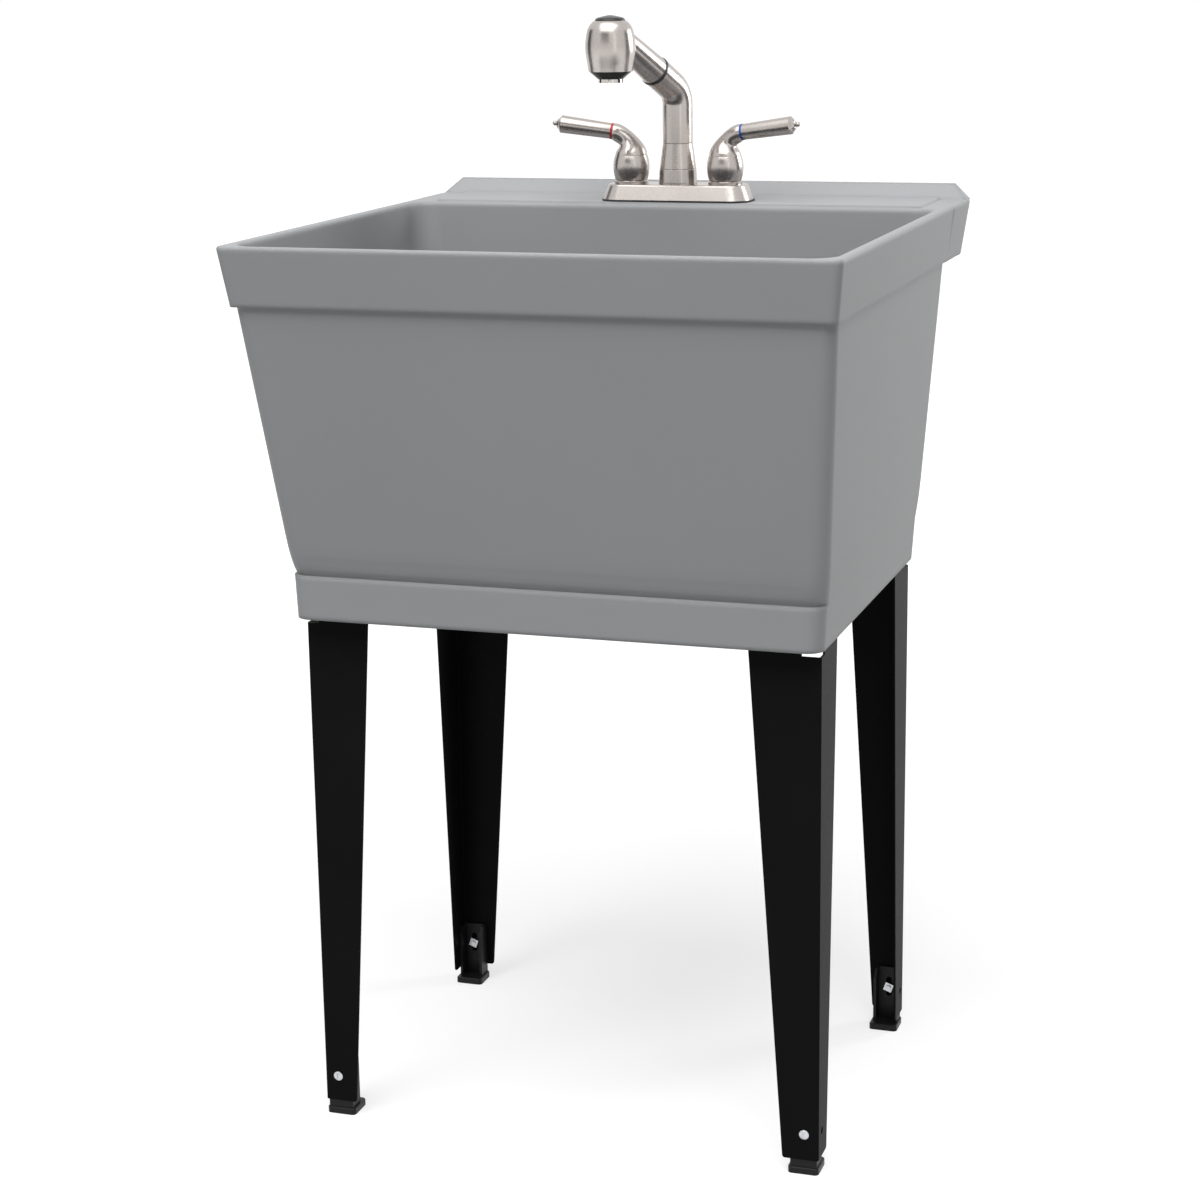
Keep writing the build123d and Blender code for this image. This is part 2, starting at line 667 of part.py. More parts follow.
with BuildPart() as faucet_body:
    # brass cross tube, two valve towers, the spout stem and three shanks through the deck
    tube_z = plate_foot_z + 6.5
    with BuildSketch(Plane.YZ.offset(-valve_x)):
        with Locations((faucet_y, tube_z)):
            Circle(6.3)
    extrude(amount=valve_spacing)
    for x in (-valve_x, 0, valve_x):
        with Locations((x, faucet_y, plate_foot_z)):
            Cylinder(
                tower_radius,
                plate_height + (tower_top if x else 0.0),
                align=(Align.CENTER, Align.CENTER, Align.MIN),
            )
            Cylinder(
                shank_radius,
                plate_foot_z - shank_foot_z,
                align=(Align.CENTER, Align.CENTER, Align.MAX),
            )
            Cylinder(
                shank_root_radius,
                plate_foot_z - shank_root_z,
                align=(Align.CENTER, Align.CENTER, Align.MAX),
            )
    with Locations((0, faucet_y, plate_top_z)):
        Cylinder(
            stem_tube_radius,
            neck_foot_z + 16.0 - plate_top_z,
            align=(Align.CENTER, Align.CENTER, Align.MIN),
        )
    with Locations((0, faucet_y, shank_foot_z)):
        Cylinder(
            stem_tube_bore - 1.5,
            neck_foot_z + 17.0 - shank_foot_z,
            align=(Align.CENTER, Align.CENTER, Align.MIN),
            mode=Mode.SUBTRACT,
        )
    # seal groove on the spout stem
    with BuildSketch(Plane.XY.offset(neck_foot_z + 7.0)):
        with Locations((0, faucet_y)):
            Circle(stem_tube_radius + 1.0)
            Circle(stem_tube_radius - 1.6, mode=Mode.SUBTRACT)
    extrude(amount=2.4, mode=Mode.SUBTRACT)
    for x in (-valve_x, valve_x):
        with Locations((x, faucet_y, shank_foot_z)):
            Cylinder(
                shank_bore,
                plate_top_z - shank_foot_z,
                align=(Align.CENTER, Align.CENTER, Align.MIN),
                mode=Mode.SUBTRACT,
            )
        with Locations((x, faucet_y, valve_seat_z)):
            Cylinder(
                valve_bore,
                2 * plate_height,
                align=(Align.CENTER, Align.CENTER, Align.MIN),
                mode=Mode.SUBTRACT,
            )
keep(faucet_body, "faucet_body")

shank_places = ((-valve_x, faucet_y), (0, faucet_y), (valve_x, faucet_y))
with BuildPart() as shank_washers:
    with BuildSketch(Plane.XY.offset(deck_under_z - washer_thickness)):
        with Locations(*shank_places):
            Circle(washer_radius)
            Circle(shank_root_radius + 0.3, mode=Mode.SUBTRACT)
    extrude(amount=washer_thickness)
keep(shank_washers, "shank_washers")

with BuildPart() as shank_nuts:
    # wing nuts turned by hand from below
    with BuildSketch(Plane.XY.offset(deck_under_z - washer_thickness - nut_thickness)):
        with Locations(*shank_places):
            Circle(nut_radius)
            SlotOverall(nut_wing_span, nut_wing_width, rotation=35)
            Circle(shank_root_radius, mode=Mode.SUBTRACT)
    extrude(amount=nut_thickness)
keep(shank_nuts, "shank_nuts")

# ---------------------------------------------------------------- spout
with BuildPart() as spout_collar:
    with BuildSketch(Plane.XZ.offset(-faucet_y)):
        with BuildLine():
            Polyline(
                (stem_tube_radius, plate_top_z),
                (collar_foot_radius, plate_top_z),
                (collar_foot_radius, plate_top_z + 2.0),
                (collar_head_radius, collar_top_z - 0.6),
                (collar_head_radius - 0.6, collar_top_z),
                (stem_tube_radius, collar_top_z),
                close=True,
            )
        make_face()
    revolve(axis=Axis((0, faucet_y, 0), (0, 0, 1)))
keep(spout_collar, "spout_collar")

with BuildPart() as spout_cone:
    with BuildSketch(Plane.XZ.offset(-faucet_y)):
        with BuildLine():
            Polyline(
                (stem_tube_radius, collar_top_z),
                (cone_foot_radius - 0.5, collar_top_z),
                (cone_foot_radius, collar_top_z + 0.5),
                (neck_radius, cone_top_z - 0.4),
                (neck_radius - 0.4, cone_top_z),
                (stem_tube_radius, cone_top_z),
                close=True,
            )
        make_face()
    revolve(axis=Axis((0, faucet_y, 0), (0, 0, 1)))
keep(spout_cone, "spout_cone")

with BuildPart() as swivel_seal:
    with BuildSketch(Plane.XZ.offset(-faucet_y)):
        with Locations((stem_tube_radius - 0.85, neck_foot_z + 8.2)):
            Rectangle(1.5, 2.0)
    revolve(axis=Axis((0, faucet_y, 0), (0, 0, 1)))
keep(swivel_seal, "swivel_seal")

# the spout's own upright plane: local x runs forward along the turned spout, local y is up
heading = (-sin(radians(spout_turn)), -cos(radians(spout_turn)))
side_normal = (heading[1], -heading[0], 0)
spout_plane = Plane(origin=(0, faucet_y, 0), x_dir=(*heading, 0), z_dir=side_normal)
rise = radians(wand_rise)
wand_dir = (heading[0] * cos(rise), heading[1] * cos(rise), sin(rise))
elbow = (0, faucet_y, elbow_z)
# local x runs out along the wand's axis, local y away from it, in the same upright plane
wand_plane = Plane(origin=elbow, x_dir=wand_dir, z_dir=side_normal)
wand_axis = Axis(elbow, wand_dir)


def wand_station(distance):
    """The plane square to the wand's axis at a distance from the elbow."""
    return Plane(origin=wand_plane.from_local_coords((distance, 0, 0)), z_dir=wand_dir)


with BuildPart() as spout_neck:
    with BuildLine(spout_plane):
        FilletPolyline(
            (0, neck_foot_z),
            (0, elbow_z),
            (dock_distance * cos(rise), elbow_z + dock_distance * sin(rise)),
            radius=elbow_radius,
        )
    with BuildSketch(Plane((0, faucet_y, neck_foot_z))):
        Circle(neck_radius)
        Circle(stem_tube_radius + swivel_clearance, mode=Mode.SUBTRACT)
    sweep()
keep(spout_neck, "spout_neck")

sleeve_radius = stem_tube_radius
with BuildPart() as dock_bushing:
    # visible ring between neck and wand, with a sleeve pressed into the neck
    with BuildSketch(wand_plane):
        with BuildLine():
            Polyline(
                (dock_distance - dock_sleeve_length, dock_bore),
                (dock_distance - dock_sleeve_length, sleeve_radius),
                (dock_distance, sleeve_radius),
                (dock_distance, dock_ring_radius - 0.5),
                (dock_distance + 0.5, dock_ring_radius),
                (dock_distance + dock_ring_thickness - 0.8, dock_ring_radius),
                (dock_distance + dock_ring_thickness, dock_ring_radius - 0.8),
                (dock_distance + dock_ring_thickness, dock_bore),
                close=True,
            )
        make_face()
    revolve(axis=wand_axis)
keep(dock_bushing, "dock_bushing")

wand_start = dock_distance + dock_ring_thickness + seam
wand_end = head_reach / cos(rise) - 12.0
head_axis_xy = spout_plane.from_local_coords((head_reach, 0, 0))
head_axis = Axis((head_axis_xy.X, head_axis_xy.Y, 0), (0, 0, 1))
head_plane = Plane(
    origin=(head_axis_xy.X, head_axis_xy.Y, 0), x_dir=(*heading, 0), z_dir=side_normal
)


def head_side(inset):
    """The egg-shaped side of the spray head, at an inset from its skin."""
    Spline(
        (head_foot_radius - inset, head_foot_z),
        (head_belly_radius - 1.2 - inset, head_foot_z + 0.24 * head_height),
        (head_belly_radius - inset, head_foot_z + 0.46 * head_height),
        (head_belly_radius - 1.0 - inset, head_foot_z + 0.69 * head_height),
        (head_belly_radius - 3.1 - inset, head_foot_z + 0.86 * head_height),
        (head_top_radius + 2.6 - inset, head_foot_z + 0.955 * head_height),
        (head_top_radius - inset, head_top_z),
    )


with BuildPart() as wand_shell:
    with BuildSketch(head_plane):
        with BuildLine():
            head_side(0)
            Polyline(
                (head_top_radius, head_top_z),
                (0, head_top_z),
                (0, head_foot_z),
                (head_foot_radius, head_foot_z),
            )
        make_face()
    revolve(axis=head_axis)
    with BuildSketch(wand_plane):
        with BuildLine():
            Polyline(
                (wand_start, 0),
                (wand_start, wand_foot_radius - 0.5),
                (wand_start + 0.5, wand_foot_radius),
                (wand_end, wand_neck_radius),
                (wand_end, 0),
                close=True,
            )
        make_face()
    revolve(axis=wand_axis)
    # hollow of the head, open at its foot and at its top
    with BuildSketch(head_plane):
        with BuildLine():
            head_side(head_shell)
            Polyline(
                (head_top_radius - head_shell, head_top_z),
                (0, head_top_z),
                (0, head_foot_z),
                (head_foot_radius - head_shell, head_foot_z),
            )
        make_face()
    revolve(axis=head_axis, mode=Mode.SUBTRACT)
    # recess for the button
    with Locations((head_axis_xy.X, head_axis_xy.Y, head_top_z)):
        Cylinder(
            button_radius + 0.1,
            2 * (button_rim + button_travel + seam),
            mode=Mode.SUBTRACT,
        )
    # hollow of the shaft
    with BuildSketch(wand_station(wand_start - 1.0)):
        Circle(wand_neck_radius - head_shell)
    extrude(amount=wand_end - wand_start, mode=Mode.SUBTRACT)
keep(wand_shell, "wand_shell")

with BuildPart() as hose_connector:
    # plug that centres the wand in its dock and takes the hose
    with BuildSketch(wand_plane):
        with BuildLine():
            inner = wand_start - wand_plug_length
            Polyline(
                (inner, 4.5),
                (inner, 8.5),
                (inner + 3.0, dock_bore - swivel_clearance),
                (wand_start, dock_bore - swivel_clearance),
                (wand_start, wand_neck_radius - head_shell),
                (wand_start + 16.0, wand_neck_radius - head_shell),
                (wand_start + 16.0, 4.5),
                close=True,
            )
        make_face()
    revolve(axis=wand_axis)
keep(hose_connector, "hose_connector")

core_top_z = head_foot_z + 28.5
button_under_z = head_top_z - button_rim
with BuildPart() as spray_core:
    # water block inside the head, with the bore of the diverter
    with BuildSketch(head_plane):
        with BuildLine():
            Polyline(
                (4.6, head_foot_z),
                (head_foot_radius - head_shell - 0.4, head_foot_z),
                (head_foot_radius - head_shell + 0.6, core_top_z - 6.0),
                (head_foot_radius - head_shell - 3.0, core_top_z),
                (4.6, core_top_z),
                close=True,
            )
        make_face()
    revolve(axis=head_axis)
keep(spray_core, "spray_core")

with BuildPart() as nozzle_ring:
    with BuildSketch(head_plane):
        with BuildLine():
            Polyline(
                (nozzle_foot_radius - 2.2, head_foot_z),
                (head_foot_radius - 1.2, head_foot_z),
                (head_foot_radius - 1.8, head_foot_z - 1.0),
                (nozzle_foot_radius + 0.4, head_foot_z - nozzle_height),
                (nozzle_foot_radius - 2.2, head_foot_z - nozzle_height),
                close=True,
            )
        make_face()
    revolve(axis=head_axis)
keep(nozzle_ring, "nozzle_ring")

with BuildPart() as aerator:
    with BuildSketch(head_plane):
        with BuildLine():
            aerator_foot_z = head_foot_z - nozzle_height - aerator_tab_height
            Polyline(
                (0, head_foot_z),
                (nozzle_foot_radius - 2.2, head_foot_z),
                (nozzle_foot_radius - 2.2, head_foot_z - nozzle_height),
                (nozzle_foot_radius, head_foot_z - nozzle_height),
                (nozzle_foot_radius, aerator_foot_z),
                (nozzle_foot_radius - 3.4, aerator_foot_z),
                (nozzle_foot_radius - 3.4, head_foot_z - nozzle_height + 1.0),
                (0, head_foot_z - nozzle_height + 1.0),
                close=True,
            )
        make_face()
    revolve(axis=head_axis)
    with BuildSketch(Plane((head_axis_xy.X, head_axis_xy.Y, aerator_foot_z))):
        with PolarLocations(nozzle_foot_radius - 1.0, aerator_slot_count, start_angle=10):
            Rectangle(6.0, 1.2)
    extrude(amount=aerator_tab_height, mode=Mode.SUBTRACT)
keep(aerator, "aerator")

with BuildPart() as spray_button:
    with BuildSketch(head_plane):
        with BuildLine():
            Spline(
                (button_radius, head_top_z + 0.6),
                (0.62 * button_radius, head_top_z + 0.72 * button_dome),
                (0, head_top_z + button_dome),
                tangents=((-0.3, 1.0), (-1.0, 0.0)),
            )
            Polyline(
                (0, head_top_z + button_dome),
                (0, button_under_z),
                (button_radius, button_under_z),
                (button_radius, head_top_z + 0.6),
            )
        make_face()
    revolve(axis=head_axis)
keep(spray_button, "spray_button")

with BuildPart() as spray_diverter:
    with BuildSketch(head_plane):
        with BuildLine():
            Polyline(
                (0, button_under_z),
                (3.0, button_under_z),
                (3.0, core_top_z + 3.5),
                (4.5, core_top_z + 3.5),
                (4.5, head_foot_z + 12.0),
                (0, head_foot_z + 12.0),
                close=True,
            )
        make_face()
    revolve(axis=head_axis)
keep(spray_diverter, "spray_diverter")

with BuildPart() as button_spring:
    spring_centre = (head_axis_xy.X, head_axis_xy.Y, core_top_z + spring_wire)
    with BuildLine():
        coil = Helix(
            pitch=spring_pitch,
            height=button_under_z - core_top_z - 2 * spring_wire,
            radius=spring_radius,
            center=spring_centre,
        )
    with BuildSketch(Plane(origin=coil @ 0, z_dir=coil % 0)):
        RegularPolygon(spring_wire, 6)
    sweep()
keep(button_spring, "button_spring")

# ---------------------------------------------------------------- handles
ring_centre = (ring_distance, ring_height)
tilt = radians(lever_rise)
side_plane = Plane(origin=(0, 0, plate_top_z), x_dir=(1, 0, 0), z_dir=(0, -1, 0))
grip_plane = Plane(
    origin=side_plane.from_local_coords((*ring_centre, 0)),
    x_dir=(cos(tilt), 0, sin(tilt)),
    z_dir=(0, -1, 0),
)
grip_axis = Axis(grip_plane.origin, (cos(tilt), 0, sin(tilt)))
bell_base = bell_foot_z - plate_top_z
bell_top = bell_top_z - plate_top_z


def lever_station(x, z, lean):
    """A plane across the arm: its centre, and how far it leans out from level."""
    return Plane(origin=(x, 0, plate_top_z + z), z_dir=(sin(radians(lean)), 0, cos(radians(lean))))


with BuildPart() as base_ring_shape:
    with BuildSketch(side_plane):
        with BuildLine():
            Polyline(
                (tower_radius, 0),
                (bell_foot_radius + 1.0, 0),
                (bell_foot_radius + 1.0, base_ring_height - 1.2),
                (bell_foot_radius - 0.4, base_ring_height),
                (tower_radius, base_ring_height),
                close=True,
            )
        make_face()
    revolve(axis=Axis.Z)

with BuildPart() as bell_shape:
    with BuildSketch(side_plane):
        with BuildLine():
            Spline(
                (bell_foot_radius, bell_base),
                (bell_belly_radius - 0.5, bell_base + 0.3 * bell_height),
                (bell_belly_radius, bell_base + 0.56 * bell_height),
                (bell_belly_radius - 0.6, bell_base + 0.78 * bell_height),
                (bell_head_radius, bell_top),
            )
            Polyline(
                (bell_head_radius, bell_top),
                (bell_head_radius - 3.0, bell_top),
                (tower_radius + 1.6, bell_base + 6.0),
                (tower_radius + 1.6, bell_base),
                (bell_foot_radius, bell_base),
            )
        make_face()
    revolve(axis=Axis.Z)

with BuildPart() as arm_shape:
    sections = (
        (0.0, bell_top, bell_head_radius - 0.3, 0.0),
        (0.0, bell_top + 5.5, 15.4, 4.0),
        (1.4, bell_top + 11.5, 11.8, 16.0),
        (8.0, bell_top + 19.0, 9.2, 52.0),
        (
            ring_distance - 0.5 * ring_width * cos(tilt),
            ring_height - 0.5 * ring_width * sin(tilt),
            arm_end_radius,
            90.0 - lever_rise,
        ),
    )
    for x, z, radius, lean in sections:
        with BuildSketch(lever_station(x, z, lean)):
            Circle(radius)
    loft()
    # boss down inside the bell, with the bore for the valve stem
    with Locations((0, 0, bell_top_z)):
        Cylinder(7.0, 8.0, align=(Align.CENTER, Align.CENTER, Align.MAX))
        Cylinder(valve_stem_radius, 20.0, mode=Mode.SUBTRACT)
    # set screw hole at the back of the hub
    with Locations(Location((0, 0, bell_top_z + 4.0), (-90, 0, 0))):
        Cylinder(2.0, 30.0, align=(Align.CENTER, Align.CENTER, Align.MIN), mode=Mode.SUBTRACT)

with BuildPart() as index_ring_shape:
    with BuildSketch(grip_plane):
        with Locations((0, ring_radius / 2)):
            Rectangle(ring_width, ring_radius)
    revolve(axis=grip_axis)

with BuildPart() as grip_shape:
    with BuildSketch(grip_plane):
        with BuildLine():
            start = ring_width / 2
            end = start + grip_length
            Polyline(
                (start, 0),
                (start, arm_end_radius),
                (end - 1.0, grip_end_radius),
                (end, grip_end_radius - 1.0),
                (end + 1.2, 6.4),
                (end + 3.6, 4.2),
                (end + 4.0, 2.0),
                (end + 4.4, 2.0),
            )
            ball = end + 4.4 + (tip_radius**2 - 4.0) ** 0.5
            ThreePointArc((end + 4.4, 2.0), (ball, tip_radius), (ball + tip_radius, 0))
            Line((ball + tip_radius, 0), (start, 0))
        make_face()
    revolve(axis=grip_axis)

cartridge_top = bell_base + 12.0
with BuildPart() as cartridge_shape:
    # quarter-turn valve screwed into the tower, with a hexagon above it
    with BuildSketch(side_plane):
        with BuildLine():
            Polyline(
                (valve_stem_radius + 0.1, valve_seat_z - plate_top_z),
                (valve_bore - 0.1, valve_seat_z - plate_top_z),
                (valve_bore - 0.1, tower_top),
                (12.0, tower_top),
                (12.0, tower_top + 4.0),
                (8.5, tower_top + 4.0),
                (8.5, cartridge_top),
                (valve_stem_radius + 0.1, cartridge_top),
                close=True,
            )
        make_face()
    revolve(axis=Axis.Z)

with BuildPart() as stem_shape:
    with Locations((0, 0, plate_foot_z + 6.0)):
        Cylinder(
            valve_stem_radius,
            bell_top_z + 9.9 - plate_foot_z - 6.0,
            align=(Align.CENTER, Align.CENTER, Align.MIN),
        )

with BuildPart() as set_screw_shape:
    with Locations(Location((0, valve_stem_radius, bell_top_z + 4.0), (-90, 0, 0))):
        Cylinder(1.95, 8.0, align=(Align.CENTER, Align.CENTER, Align.MIN))
        with Locations((0, 0, 8.0)):
            Box(4.5, 0.8, 1.6, mode=Mode.SUBTRACT)

handle_pieces = (
    ("base_ring", base_ring_shape),
    ("handle_bell", bell_shape),
    ("handle_arm", arm_shape),
    ("index_ring", index_ring_shape),
    ("handle_grip", grip_shape),
    ("valve_cartridge", cartridge_shape),
    ("valve_stem", stem_shape),
    ("set_screw", set_screw_shape),
)
for side_name, x, turn in (
    ("hot", -valve_x, 180 + lever_toe_in),
    ("cold", valve_x, -lever_toe_in),
):
    for piece_name, shape in handle_pieces:
        with BuildPart() as handle_piece:
            with Locations(Location((x, faucet_y, 0), (0, 0, turn))):
                add(shape.part)
        keep(handle_piece, f"{side_name}_{piece_name}")

# ---------------------------------------------------------------- drain
seat_z = floor_drain_z - drain_recess_depth
flange_top_z = floor_drain_z + 0.8
throat_bore = drain_throat_radius - drain_throat_wall
drain_plane = Plane(origin=(0, drain_y, 0), x_dir=(1, 0, 0), z_dir=(0, -1, 0))
drain_axis = Axis((0, drain_y, 0), (0, 0, 1))
with BuildPart() as drain_body:
    with BuildSketch(drain_plane):
        with BuildLine():
            Polyline(
                (throat_bore, drain_body_foot_z),
                (drain_throat_radius, drain_body_foot_z),
                (drain_throat_radius, seat_z),
                (drain_flange_radius, seat_z),
                (drain_flange_radius, flange_top_z - 0.8),
                (drain_flange_radius - 0.8, flange_top_z),
                (throat_bore + 6.0, flange_top_z),
                (throat_bore, flange_top_z - 7.0),
                close=True,
            )
        make_face()
    revolve(axis=drain_axis)
    # strainer cross at the foot of the cup
    with BuildSketch(Plane.XY.offset(drain_body_foot_z + 18.0)):
        with Locations((0, drain_y)):
            Rectangle(2 * throat_bore + 2.0, 3.0)
            Rectangle(3.0, 2 * throat_bore + 2.0)
            Circle(5.0)
    extrude(amount=4.0)
keep(drain_body, "drain_body")

under_drain_z = floor_drain_z - wall
with BuildPart() as drain_gasket:
    with BuildSketch(Plane.XY.offset(under_drain_z - 3.0)):
        with Locations((0, drain_y)):
            Circle(drain_flange_radius - 2.0)
            Circle(drain_throat_radius + 0.3, mode=Mode.SUBTRACT)
    extrude(amount=3.0)
keep(drain_gasket, "drain_gasket")

with BuildPart() as drain_locknut:
    with BuildSketch(Plane.XY.offset(under_drain_z - 3.0 - 10.0)):
        with Locations((0, drain_y)):
            Circle(34.0)
            with PolarLocations(34.0, 6):
                Rectangle(6.0, 10.0)
            Circle(drain_throat_radius, mode=Mode.SUBTRACT)
    extrude(amount=10.0)
keep(drain_locknut, "drain_locknut")

with BuildPart() as drain_tailpiece:
    with BuildSketch(drain_plane):
        with BuildLine():
            Polyline(
                (tailpiece_radius - tailpiece_wall, drain_body_foot_z),
                (drain_throat_radius - 1.0, drain_body_foot_z),
                (drain_throat_radius - 1.0, drain_body_foot_z - 2.0),
                (tailpiece_radius + 0.3, drain_body_foot_z - 2.0),
                (tailpiece_radius + 0.3, slip_nut_foot_z),
                (tailpiece_radius, slip_nut_foot_z),
                (tailpiece_radius, tailpiece_foot_z),
                (tailpiece_radius - tailpiece_wall, tailpiece_foot_z),
                close=True,
            )
        make_face()
    revolve(axis=drain_axis)
keep(drain_tailpiece, "drain_tailpiece")

with BuildPart() as drain_slip_nut:
    with BuildSketch(Plane.XY.offset(slip_nut_foot_z)):
        with Locations((0, drain_y)):
            RegularPolygon(31.0, 8)
    extrude(amount=17.0)
    with Locations((0, drain_y, drain_body_foot_z - 2.0)):
        Cylinder(
            drain_throat_radius,
            20.0,
            align=(Align.CENTER, Align.CENTER, Align.MIN),
            mode=Mode.SUBTRACT,
        )
        Cylinder(tailpiece_radius + 0.3, 20.0, mode=Mode.SUBTRACT)
keep(drain_slip_nut, "drain_slip_nut")

with BuildPart() as drain_stopper:
    # rubber plug that rests on the flange and lifts out by its knob
    with BuildSketch(drain_plane):
        with BuildLine():
            Polyline(
                (0, flange_top_z - 16.0),
                (throat_bore - 2.0, flange_top_z - 16.0),
                (throat_bore - 0.5, flange_top_z - 7.0),
                (throat_bore - 0.5, flange_top_z + 0.3),
                (drain_flange_radius - 8.0, flange_top_z + 0.3),
                (drain_flange_radius - 8.0, flange_top_z + 2.3),
                (5.0, flange_top_z + 4.3),
                (4.0, flange_top_z + 12.0),
                (8.0, flange_top_z + 14.0),
                (8.0, flange_top_z + 17.0),
                (6.0, flange_top_z + 18.5),
                (0, flange_top_z + 18.5),
                close=True,
            )
        make_face()
    revolve(axis=drain_axis)
keep(drain_stopper, "drain_stopper")
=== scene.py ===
import bpy
import json
from math import cos, pi, sin
from mathutils import Matrix, Vector


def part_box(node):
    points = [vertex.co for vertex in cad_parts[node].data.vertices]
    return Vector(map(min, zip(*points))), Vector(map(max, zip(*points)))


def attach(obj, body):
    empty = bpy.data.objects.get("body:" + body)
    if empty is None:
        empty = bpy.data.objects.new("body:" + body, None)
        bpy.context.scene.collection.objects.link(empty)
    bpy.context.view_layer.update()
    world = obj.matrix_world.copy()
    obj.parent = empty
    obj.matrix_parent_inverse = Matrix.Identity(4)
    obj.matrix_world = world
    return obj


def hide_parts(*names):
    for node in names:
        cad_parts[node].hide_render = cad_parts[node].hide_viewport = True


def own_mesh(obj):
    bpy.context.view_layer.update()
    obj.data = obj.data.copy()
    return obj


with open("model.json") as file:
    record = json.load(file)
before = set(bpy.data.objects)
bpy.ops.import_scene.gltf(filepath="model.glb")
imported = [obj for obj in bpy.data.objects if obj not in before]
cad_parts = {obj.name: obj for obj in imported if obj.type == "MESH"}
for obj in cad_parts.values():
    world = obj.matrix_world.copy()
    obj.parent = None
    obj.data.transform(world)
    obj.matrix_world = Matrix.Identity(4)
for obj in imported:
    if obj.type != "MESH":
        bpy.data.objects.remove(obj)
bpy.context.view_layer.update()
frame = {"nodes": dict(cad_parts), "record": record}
nodes = frame["nodes"]

black = (0.0, 0.0, 0.0)
white = (1.0, 1.0, 1.0)

# a colour Mix node's sockets, by number, because several share one name
mix_factor = 0
mix_first = 6
mix_second = 7
mix_result = 2


# ---------------------------------------------------------------- shader maths
def feed(tree, socket, value):
    """Give a socket a link or a plain value; a three-part colour gets full alpha."""
    if isinstance(value, Field):
        tree.links.new(value.socket, socket)
    elif isinstance(value, (tuple, list)) and socket.type == "RGBA" and len(value) == 3:
        socket.default_value = (*value, 1.0)
    else:
        socket.default_value = value


class Field:
    """What one node socket gives, with ordinary arithmetic on values."""

    def __init__(self, network, socket):
        self.network = network
        self.socket = socket

    def maths(self, operation, first, second):
        return self.network.node("ShaderNodeMath", {"operation": operation}, {0: first, 1: second})

    def __add__(self, other):
        return self.maths("ADD", self, other)

    def __sub__(self, other):
        return self.maths("SUBTRACT", self, other)

    def __rsub__(self, other):
        return self.maths("SUBTRACT", other, self)

    def __mul__(self, other):
        return self.maths("MULTIPLY", self, other)

    def __truediv__(self, other):
        return self.maths("DIVIDE", self, other)

    def __rtruediv__(self, other):
        return self.maths("DIVIDE", other, self)

    __radd__ = __add__
    __rmul__ = __mul__

    def clamped(self):
        """The field cut off below 0 and above 1."""
        return self.network.node("ShaderNodeClamp", {}, {"Value": self})


class Network:
    """A node tree whose nodes are all made by one method."""

    def __init__(self, tree):
        self.tree = tree

    def node(self, kind, settings, sockets, output=0):
        made = self.tree.nodes.new(kind)
        for key, value in settings.items():
            setattr(made, key, value)
        for key, value in sockets.items():
            feed(self.tree, made.inputs[key], value)
        return Field(self, made.outputs[output])


class Finish(Network):
    """A material built from nodes around one surface shader."""

    def __init__(self, name, **constants):
        self.material = bpy.data.materials.new(name)
        self.material.use_nodes = True
        super().__init__(self.material.node_tree)
        self.surface = self.tree.nodes["Principled BSDF"]
        self.give(**constants)
        self.place = self.node("ShaderNodeTexCoord", {}, {}, "Object")

    def give(self, **values):
        """Feed the surface shader's sockets, named with _ in place of a space."""
        for socket_name, value in values.items():
            feed(self.tree, self.surface.inputs[socket_name.replace("_", " ")], value)

    def noise(self, scale, detail, roughness=0.5, place=None):
        sockets = {
            "Vector": place or self.place,
            "Scale": scale,
            "Detail": detail,
            "Roughness": roughness,
        }
        return self.node("ShaderNodeTexNoise", {}, sockets)

    def distance(self):
        """How far a point lies from the object's own centre, in metres."""
        return self.node("ShaderNodeVectorMath", {"operation": "LENGTH"}, {0: self.place}, "Value")

    def stretched(self, scales):
        """The object's own coordinates, scaled apart along its axes."""
        return self.node("ShaderNodeMapping", {}, {"Vector": self.place, "Scale": scales})

    def mixed(self, factor, first, second):
        """A colour between two colours."""
        sockets = {mix_factor: factor, mix_first: first, mix_second: second}
        return self.node("ShaderNodeMix", {"data_type": "RGBA"}, sockets, mix_result)

    def softened(self, radius, samples=6):
        """The surface's direction with its edges eased over a small radius, in metres."""
        return self.node("ShaderNodeBevel", {"samples": samples}, {"Radius": radius}, "Normal")

    def relief(self, height, depth, strength, under=None):
        """Small surface relief, in metres, on top of any direction under it."""
        sockets = {"Height": height, "Distance": depth, "Strength": strength}
        if under is not None:
            sockets["Normal"] = under
        return self.node("ShaderNodeBump", {}, sockets)


def between(field, low, high):
    """Stretch a 0 to 1 field to run from low to high."""
    return field * (high - low) + low


def grey(level):
    """A neutral colour."""
    return (level, level, level)


# ---------------------------------------------------------------- finishes
def moulded_tub(dark, light, edge_radius, cloud_share=0.5, grain_share=0.35, pore_share=0.4):
    """Satin grey thermoplastic with a fine pebble and faint flow clouds."""
    finish = Finish("moulded tub plastic", Specular_IOR_Level=0.5)
    clouds = finish.noise(scale=5.0, detail=3.0)
    grain = finish.noise(scale=900.0, detail=2.0)
    pores = finish.noise(scale=2600.0, detail=1.0)
    tone = (clouds - 0.5) * cloud_share + 0.5 + (grain - 0.5) * grain_share
    pebble = grain + pores * pore_share
    finish.give(
        Base_Color=finish.mixed(tone.clamped(), dark, light),
        Roughness=between(grain, 0.44, 0.56),
        Normal=finish.relief(pebble, 0.00012, 0.5, finish.softened(edge_radius)),
    )
    return finish.material


def powder_coat(dark, light):
    """Dark powder coat with orange peel on rolled steel sheet."""
    finish = Finish("leg powder coat", Specular_IOR_Level=0.025)
    peel = finish.noise(scale=700.0, detail=1.5)
    clouds = finish.noise(scale=9.0, detail=3.0)
    finish.give(
        Base_Color=finish.mixed(clouds, dark, light),
        Roughness=between(peel, 0.34, 0.48),
        Normal=finish.relief(peel, 0.00015, 0.5),
    )
    return finish.material


